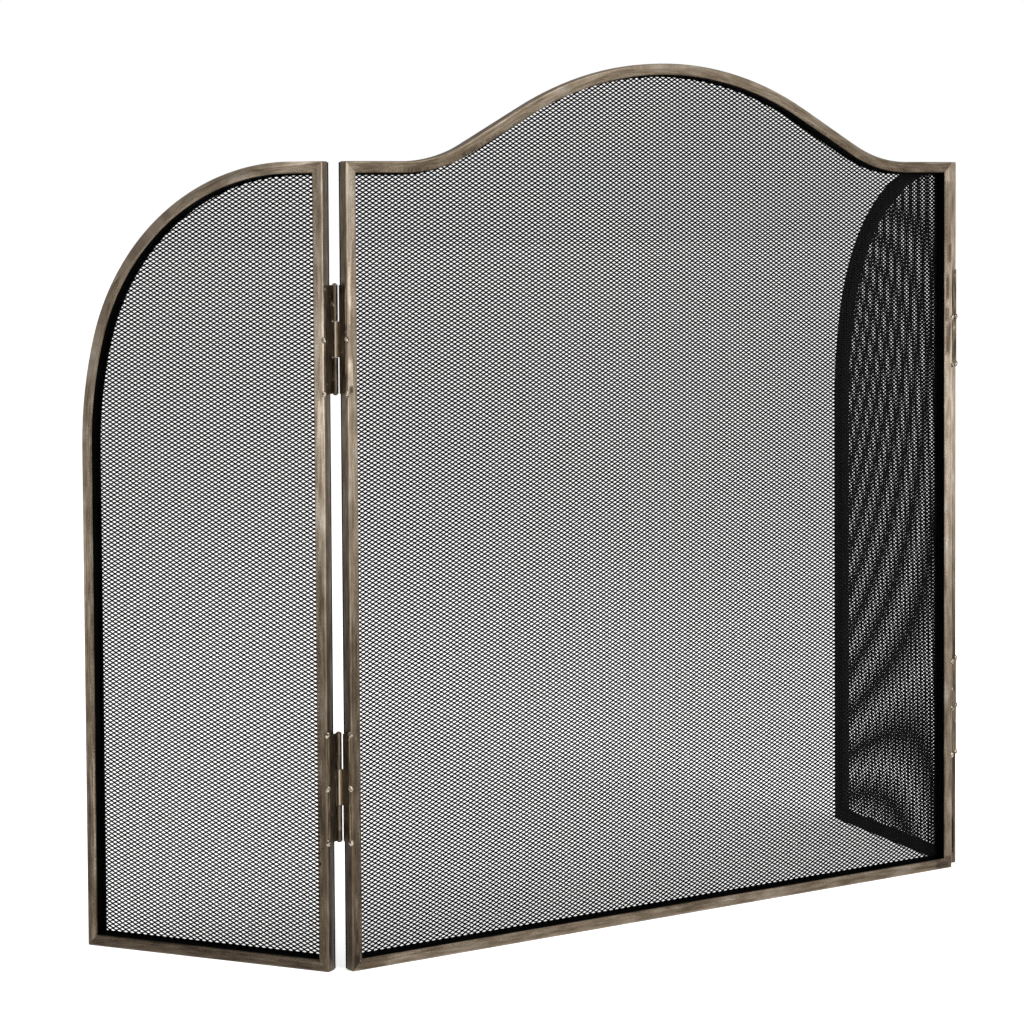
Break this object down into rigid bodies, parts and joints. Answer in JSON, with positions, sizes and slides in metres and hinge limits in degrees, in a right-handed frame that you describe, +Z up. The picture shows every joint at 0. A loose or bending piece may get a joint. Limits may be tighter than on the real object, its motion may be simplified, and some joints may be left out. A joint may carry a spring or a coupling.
{
  "type": "fireplace screen",
  "caption": "Free-standing folding fireplace screen: arched centre panel and two folding arched wings, square-tube frames with black expanded metal mesh.",
  "frame": {"origin": "middle of the centre panel's underside, on the floor, halfway through the frame's depth", "axes": "+X to the viewer's right along the centre panel, +Y towards the hearth behind the screen, +Z up; the front faces -Y"},
  "size_m": [0.845, 0.2333, 0.722],
  "materials": {
    "antique_frame": "hand-rubbed antique bronze-grey, worn lighter along edges",
    "black_metal": "matt black paint",
    "mesh_black": "satin black paint",
    "hinge_metal": "dark antique bronze, rubbed at the edges"
  },
  "bodies": {
    "centre_panel": {"centre_left_stile": "antique_frame", "centre_right_stile": "antique_frame", "centre_bottom_rail": "antique_frame", "centre_arched_rail": "antique_frame", "centre_mesh": "mesh_black", "centre_left_strip": "black_metal", "centre_right_strip": "black_metal", "centre_bottom_strip": "black_metal", "centre_arched_strip": "black_metal", "left_upper_hinge_centre_leaf": "hinge_metal", "left_upper_hinge_pin": "hinge_metal", "left_lower_hinge_centre_leaf": "hinge_metal", "left_lower_hinge_pin": "hinge_metal", "right_upper_hinge_centre_leaf": "hinge_metal", "right_upper_hinge_pin": "hinge_metal", "right_lower_hinge_centre_leaf": "hinge_metal", "right_lower_hinge_pin": "hinge_metal"},
    "left_wing": {"left_wing_hinge_stile": "antique_frame", "left_wing_bow": "antique_frame", "left_wing_bottom_rail": "antique_frame", "left_wing_mesh": "mesh_black", "left_wing_hinge_strip": "black_metal", "left_wing_bow_strip": "black_metal", "left_wing_bottom_strip": "black_metal", "left_upper_hinge_wing_leaf": "hinge_metal", "left_lower_hinge_wing_leaf": "hinge_metal"},
    "right_wing": {"right_wing_hinge_stile": "antique_frame", "right_wing_bow": "antique_frame", "right_wing_bottom_rail": "antique_frame", "right_wing_mesh": "mesh_black", "right_wing_hinge_strip": "black_metal", "right_wing_bow_strip": "black_metal", "right_wing_bottom_strip": "black_metal", "right_upper_hinge_wing_leaf": "hinge_metal", "right_lower_hinge_wing_leaf": "hinge_metal"}
  },
  "joints": [
    {"name": "left_fold", "type": "hinge", "parent": "centre_panel", "child": "left_wing", "pos_m": [-0.325, 0.00925, 0.32], "axis": [0, 0, -1], "range_deg": [-61, 119]},
    {"name": "right_fold", "type": "hinge", "parent": "centre_panel", "child": "right_wing", "pos_m": [0.325, 0.00925, 0.32], "axis": [0, 0, 1], "range_deg": [-75, 105]}
  ]
}
